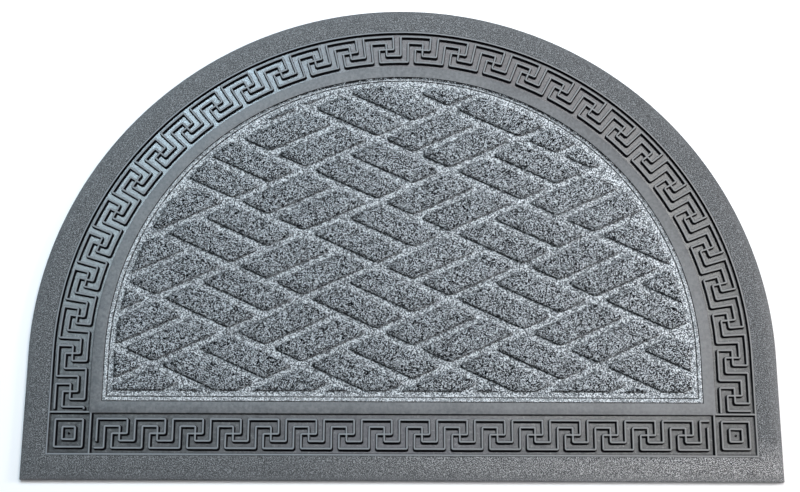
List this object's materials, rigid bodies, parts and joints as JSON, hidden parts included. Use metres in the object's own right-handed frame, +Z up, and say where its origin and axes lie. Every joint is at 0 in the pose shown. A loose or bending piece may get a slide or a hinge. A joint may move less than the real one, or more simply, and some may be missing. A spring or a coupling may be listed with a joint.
{
  "type": "half-round doormat",
  "caption": "Half-round doormat: a rubber mat with a grained border and a raised meander band round a felt insert in raised basket weave.",
  "frame": {"origin": "on the floor, under the middle of the mat's bounding box", "axes": "+X along the straight front edge, +Y from the front edge towards the top of the arc, +Z up out of the floor"},
  "size_m": [0.6, 0.4, 0.0078],
  "materials": {
    "rubber": "dark slate-grey moulded rubber, satin on the band and the flat ring, finely grained and matt on the border",
    "felt": "needle-punched felt in a grey melange, matt and fibrous, lighter where it is pressed flat"
  },
  "bodies": {
    "root": {"rubber_mat": "rubber", "felt_insert": "felt"}
  },
  "joints": []
}
